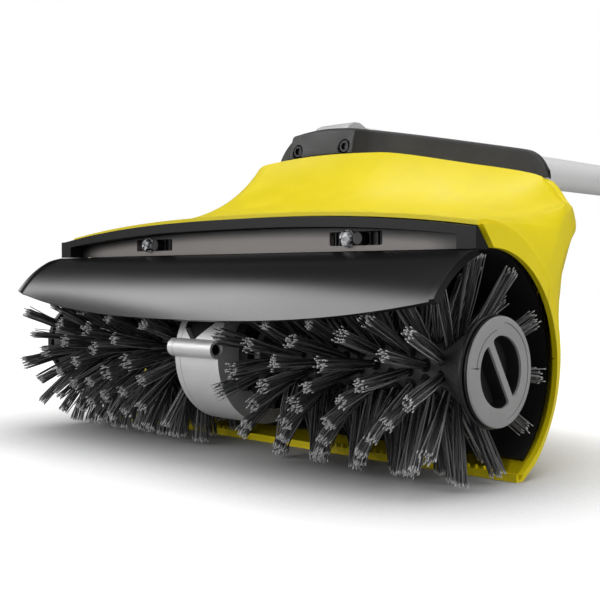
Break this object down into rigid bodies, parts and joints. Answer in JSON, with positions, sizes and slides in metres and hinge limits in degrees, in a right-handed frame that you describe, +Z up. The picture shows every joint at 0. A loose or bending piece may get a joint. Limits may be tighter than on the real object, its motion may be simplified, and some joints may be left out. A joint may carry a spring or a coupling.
{
  "type": "patio cleaner",
  "caption": "Powered patio cleaner: two driven brush rollers under a hooded housing with spray nozzles, splash guard and a folding telescopic handle.",
  "frame": {"origin": "middle of the flat foot that the machine rests on, on the floor", "axes": "+X along the rollers, +Y from the splash guard back to the folded handle, +Z up"},
  "size_m": [0.334, 0.79, 0.2001],
  "materials": {
    "yellow_plastic": "fine grained moulding",
    "black_plastic": "grained moulding",
    "satin_black_plastic": "satin moulding",
    "grey_plastic": "satin moulding",
    "cap_plastic": "fine grained moulding",
    "cast_aluminium": "die cast, blasted",
    "tube_aluminium": "anodised",
    "steel": "turned",
    "nozzle_metal": "plated",
    "rotor": "laminations and copper winding",
    "rubber": "moulded",
    "bristle_nylon": "nylon strands on a moulded core",
    "board": "circuit board with potted parts",
    "accent_plastic": "fine grained moulding"
  },
  "bodies": {
    "machine": {"upper_housing": "yellow_plastic", "lower_housing": "yellow_plastic", "rear_cover": "yellow_plastic", "brush_chamber": "black_plastic", "front_frame": "satin_black_plastic", "nozzle_bar": "grey_plastic", "nozzle_left": "nozzle_metal", "nozzle_right": "nozzle_metal", "water_pipe": "black_plastic", "valve_body": "black_plastic", "hose_coupling": "black_plastic", "control_board": "board", "top_cover": "black_plastic", "cover_screw_left": "steel", "cover_screw_right": "steel", "gearbox_body": "cast_aluminium", "gearbox_cover": "cast_aluminium", "gearbox_screw": "steel", "bearing_left": "steel", "bearing_right": "steel", "motor_can": "steel", "motor_end_bell": "black_plastic", "drive_belt": "rubber", "hinge_pin": "steel"},
    "brush_drive": {"brush_shaft": "steel", "driven_pulley": "black_plastic", "drive_dog_left": "black_plastic", "drive_dog_right": "black_plastic"},
    "roller_left": {"roller_left": "bristle_nylon"},
    "roller_right": {"roller_right": "bristle_nylon"},
    "end_cap_left": {"end_cap_left": "cap_plastic"},
    "end_cap_right": {"end_cap_right": "cap_plastic"},
    "motor": {"motor_rotor": "rotor", "motor_pulley": "steel", "cooling_fan": "black_plastic"},
    "splash_guard": {"splash_guard": "satin_black_plastic"},
    "flow_knob": {"flow_knob": "black_plastic"},
    "handle": {"handle_knuckle": "black_plastic", "lower_tube": "tube_aluminium", "clamp_collar": "black_plastic", "lever_pin": "steel"},
    "clamp_lever": {"clamp_lever": "black_plastic"},
    "telescope": {"upper_tube": "tube_aluminium", "grip_left": "black_plastic", "grip_right": "black_plastic", "trigger_pin": "steel", "grip_screw_front": "steel", "grip_screw_rear": "steel", "cable_gland": "rubber"},
    "trigger": {"trigger": "accent_plastic"},
    "lock_button": {"lock_button": "accent_plastic"}
  },
  "joints": [
    {"name": "brush_spin", "type": "hinge", "parent": "machine", "child": "brush_drive", "pos_m": [0, -0.03, 0.0545], "axis": [1, 0, 0], "continuous": true},
    {"name": "motor_spin", "type": "hinge", "parent": "machine", "child": "motor", "pos_m": [0, 0.048, 0.112], "axis": [1, 0, 0], "continuous": true},
    {"name": "roller_left_pull", "type": "slide", "parent": "brush_drive", "child": "roller_left", "axis": [-1, 0, 0], "range_m": [0, 0.13]},
    {"name": "roller_right_pull", "type": "slide", "parent": "brush_drive", "child": "roller_right", "axis": [1, 0, 0], "range_m": [0, 0.13]},
    {"name": "end_cap_left_turn", "type": "hinge", "parent": "roller_left", "child": "end_cap_left", "pos_m": [-0.16, -0.03, 0.0545], "axis": [1, 0, 0], "range_deg": [0, 45]},
    {"name": "end_cap_right_turn", "type": "hinge", "parent": "roller_right", "child": "end_cap_right", "pos_m": [0.16, -0.03, 0.0545], "axis": [-1, 0, 0], "range_deg": [0, 45]},
    {"name": "splash_guard_pull", "type": "slide", "parent": "machine", "child": "splash_guard", "axis": [0, -1, 0], "range_m": [0, 0.06]},
    {"name": "flow_knob_turn", "type": "hinge", "parent": "machine", "child": "flow_knob", "pos_m": [-0.08, 0.1235, 0.133], "axis": [0, 1, 0], "range_deg": [0, 90]},
    {"name": "handle_fold", "type": "hinge", "parent": "machine", "child": "handle", "pos_m": [0, 0.048, 0.1785], "axis": [1, 0, 0], "range_deg": [0, 90]},
    {"name": "telescope_slide", "type": "slide", "parent": "handle", "child": "telescope", "axis": [0, 1, 0], "range_m": [0, 0.32]},
    {"name": "clamp_lever_swing", "type": "hinge", "parent": "handle", "child": "clamp_lever", "pos_m": [0.0193, 0.471, 0.1785], "axis": [0, 0, -1], "range_deg": [0, 75]},
    {"name": "trigger_pull", "type": "hinge", "parent": "telescope", "child": "trigger", "pos_m": [0, 0.564, 0.1635], "axis": [1, 0, 0], "range_deg": [0, 4.5], "stiffness_Nm_per_rad": 0.6, "springref_deg": -6.88},
    {"name": "lock_button_press", "type": "slide", "parent": "telescope", "child": "lock_button", "axis": [0, 0, -1], "range_m": [0, 0.0012], "stiffness_N_per_m": 300, "springref_m": -0.0015}
  ],
  "couplings": [
    {"joint": "motor_spin", "follows": "brush_spin", "ratio": 3}
  ]
}
